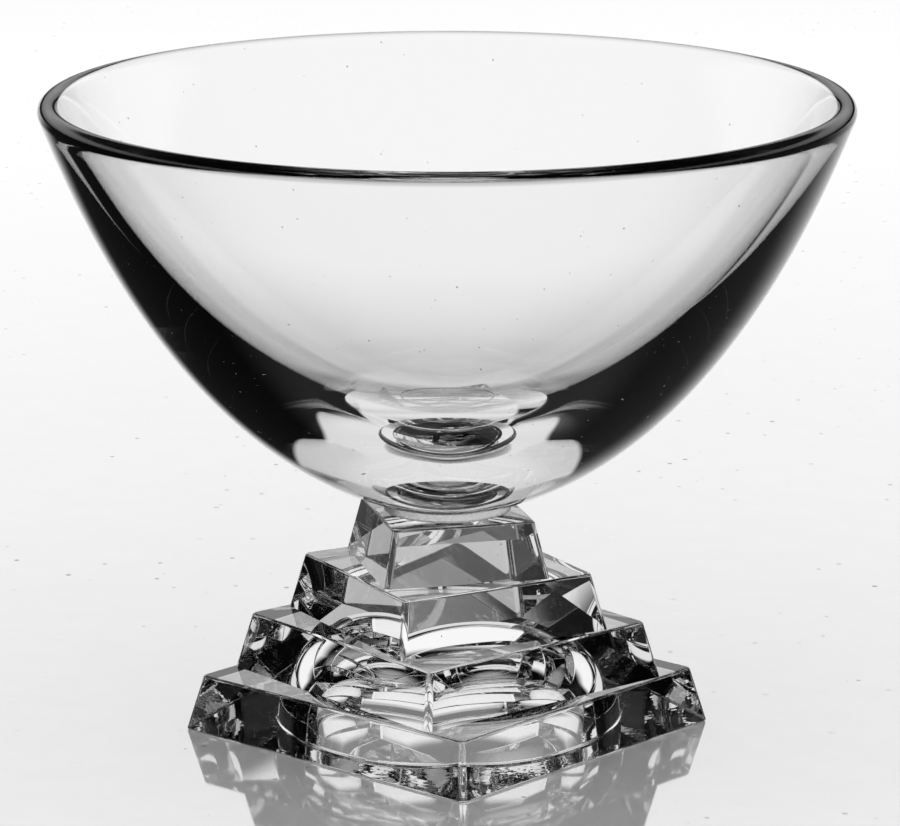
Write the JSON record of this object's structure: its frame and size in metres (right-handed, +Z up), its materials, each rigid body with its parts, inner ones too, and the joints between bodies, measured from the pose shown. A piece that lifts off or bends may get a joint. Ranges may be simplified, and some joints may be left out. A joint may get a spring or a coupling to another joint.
{
  "type": "footed bowl",
  "caption": "Clear glass bowl with a thick floor and thin round lip, bonded to a pressed glass foot of twisting square tiers with a domed hollow; stands on a table and holds fruit or sweets.",
  "frame": {"origin": "middle of the foot's table face, on the bowl's axis", "axes": "+Z up along the bowl's axis; X and Y are square to the sides of the lowest tier"},
  "size_m": [0.23, 0.23, 0.184],
  "materials": {
    "foot_glass": "clear pressed glass, fire polished",
    "bond_adhesive": "clear cured adhesive with a ragged edge",
    "bowl_glass": "clear blown glass, polished"
  },
  "bodies": {
    "root": {"stepped_foot": "foot_glass", "bond_film": "bond_adhesive", "bowl": "bowl_glass"}
  },
  "joints": []
}
